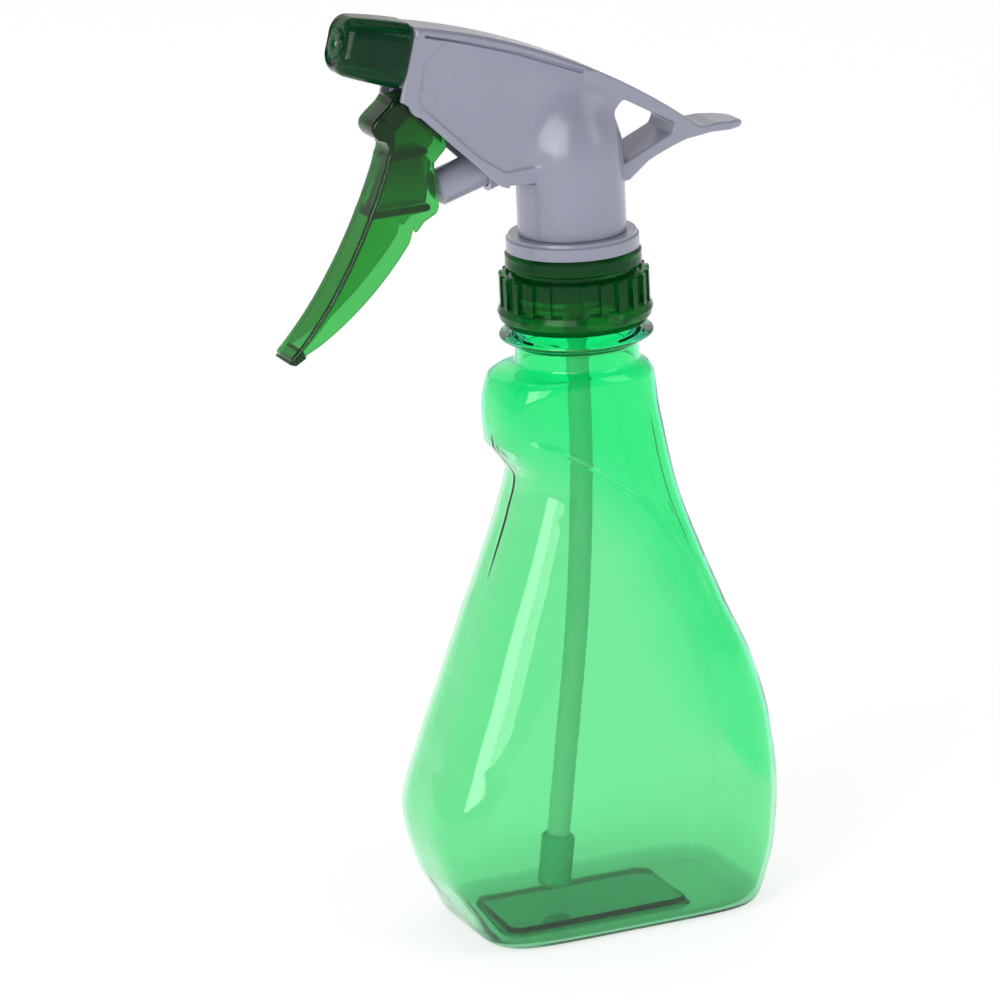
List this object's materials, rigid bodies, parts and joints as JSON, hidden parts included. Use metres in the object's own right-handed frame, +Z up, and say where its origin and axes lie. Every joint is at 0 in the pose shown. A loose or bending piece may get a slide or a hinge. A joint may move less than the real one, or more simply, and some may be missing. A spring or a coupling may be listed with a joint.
{
  "type": "hand mister",
  "caption": "Trigger spray bottle for misting plants: clear pear-shaped bottle with a finger rest, ribbed screw collar, white pump head with a hanging tail, trigger and turning nozzle.",
  "frame": {"origin": "middle of the bottle's base, on the neck axis", "axes": "+Z up along the neck axis, nozzle and trigger towards -X, +Y across the thin side"},
  "size_m": [0.1082, 0.045, 0.2094],
  "materials": {
    "bottle_green": "clear tinted PET, glossy",
    "dark_green": "tinted polypropylene, glossy",
    "trigger_green": "translucent tinted polypropylene, glossy",
    "white": "moulded polypropylene, satin gloss",
    "tube_clear": "translucent polyethylene",
    "strainer_teal": "moulded polyethylene",
    "steel": "bright stainless wire and balls",
    "seal_rubber": "matt",
    "seal_white": "soft polyethylene",
    "natural": "natural polyethylene"
  },
  "bodies": {
    "bottle": {"bottle": "bottle_green"},
    "head": {"pump_body": "white", "shroud": "white", "neck_gasket": "seal_white", "tube_retainer": "natural", "dip_tube": "tube_clear", "intake_strainer": "strainer_teal", "strainer_screen": "strainer_teal", "spinner": "natural", "nozzle_seal": "seal_rubber", "return_spring": "steel", "outlet_spring": "steel"},
    "collar": {"screw_collar": "dark_green"},
    "trigger": {"trigger": "trigger_green"},
    "piston": {"piston": "white", "piston_seal": "natural"},
    "nozzle": {"nozzle": "dark_green", "orifice_insert": "natural"},
    "inlet_ball": {"inlet_ball": "steel"},
    "outlet_ball": {"outlet_ball": "steel"}
  },
  "joints": [
    {"name": "head_rise", "type": "slide", "parent": "bottle", "child": "head", "axis": [0, 0, 1], "range_m": [0, 0.0074]},
    {"name": "collar_turn", "type": "hinge", "parent": "head", "child": "collar", "pos_m": [0, 0, 0.144], "axis": [0, 0, 1], "range_deg": [0, 630]},
    {"name": "trigger_pull", "type": "hinge", "parent": "head", "child": "trigger", "pos_m": [-0.0356, 0, 0.1896], "axis": [0, -1, 0], "range_deg": [0, 22], "stiffness_Nm_per_rad": 0.35, "springref_deg": -17.19},
    {"name": "piston_slide", "type": "slide", "parent": "head", "child": "piston", "axis": [0.9563, 0, 0.2924], "range_m": [0, 0.0073], "deforming": ["return_spring"]},
    {"name": "nozzle_turn", "type": "hinge", "parent": "head", "child": "nozzle", "pos_m": [0, 0, 0.1895], "axis": [-0.965, 0, 0.2622], "range_deg": [-90, 90]},
    {"name": "inlet_ball_lift", "type": "slide", "parent": "head", "child": "inlet_ball", "axis": [0, 0, 1], "range_m": [0, 0.0015]},
    {"name": "outlet_ball_lift", "type": "slide", "parent": "head", "child": "outlet_ball", "axis": [-0.965, 0, 0.2622], "range_m": [0, 0.0008], "stiffness_N_per_m": 50, "springref_m": -0.0005, "deforming": ["outlet_spring"]}
  ],
  "couplings": [
    {"joint": "collar_turn", "follows": "head_rise", "rad_per_m": 1485.4},
    {"joint": "trigger_pull", "follows": "piston_slide", "rad_per_m": 52.356}
  ]
}
